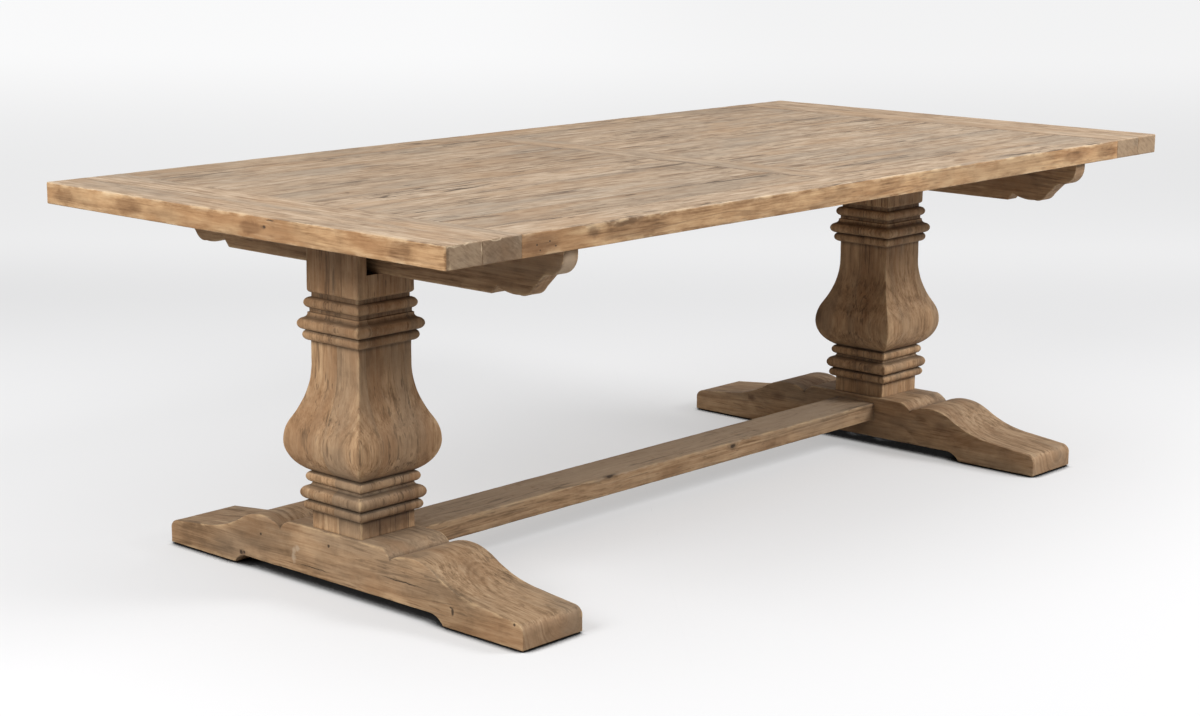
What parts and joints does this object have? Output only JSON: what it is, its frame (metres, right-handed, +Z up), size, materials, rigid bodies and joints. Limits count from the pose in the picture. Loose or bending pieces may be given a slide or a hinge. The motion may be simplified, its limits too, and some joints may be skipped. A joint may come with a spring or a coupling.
{
  "type": "trestle dining table",
  "caption": "Trestle dining table in weathered wood: a breadboard-ended plank top on bearers, carried by square baluster pedestals with sledge feet and a low stretcher.",
  "frame": {"origin": "on the floor, under the middle of the table top", "axes": "+X along the table's length, +Z up; the long front edge faces -Y"},
  "size_m": [2.35, 1.135, 0.78],
  "materials": {
    "top_wood": "weathered, matte",
    "base_wood": "weathered, matte",
    "peg_wood": "bare",
    "steel": "zinc plated",
    "pad": "matte"
  },
  "bodies": {
    "root": {"back_side_board": "top_wood", "centre_cross_board": "top_wood", "far_bay_plank_1": "top_wood", "far_bay_plank_2": "top_wood", "far_bay_plank_3": "top_wood", "far_bay_plank_4": "top_wood", "far_bay_plank_5": "top_wood", "far_bay_plank_6": "top_wood", "far_bay_plank_7": "top_wood", "far_bay_plank_8": "top_wood", "far_bearer": "base_wood", "far_bearer_coach_screws": "steel", "far_end_inner_board": "top_wood", "far_end_outer_board": "top_wood", "far_foot": "base_wood", "far_foot_coach_screws": "steel", "far_left_pad": "pad", "far_pedestal_core": "base_wood", "far_pedestal_inner_left_stave": "base_wood", "far_pedestal_inner_right_stave": "base_wood", "far_pedestal_outer_left_stave": "base_wood", "far_pedestal_outer_right_stave": "base_wood", "far_right_pad": "pad", "far_stretcher_pegs": "peg_wood", "far_top_screws": "steel", "front_side_board": "top_wood", "near_bay_plank_1": "top_wood", "near_bay_plank_2": "top_wood", "near_bay_plank_3": "top_wood", "near_bay_plank_4": "top_wood", "near_bay_plank_5": "top_wood", "near_bay_plank_6": "top_wood", "near_bay_plank_7": "top_wood", "near_bay_plank_8": "top_wood", "near_bearer": "base_wood", "near_bearer_coach_screws": "steel", "near_end_inner_board": "top_wood", "near_end_outer_board": "top_wood", "near_foot": "base_wood", "near_foot_coach_screws": "steel", "near_left_pad": "pad", "near_pedestal_core": "base_wood", "near_pedestal_inner_left_stave": "base_wood", "near_pedestal_inner_right_stave": "base_wood", "near_pedestal_outer_left_stave": "base_wood", "near_pedestal_outer_right_stave": "base_wood", "near_right_pad": "pad", "near_stretcher_pegs": "peg_wood", "near_top_screws": "steel", "stretcher": "base_wood"}
  },
  "joints": []
}
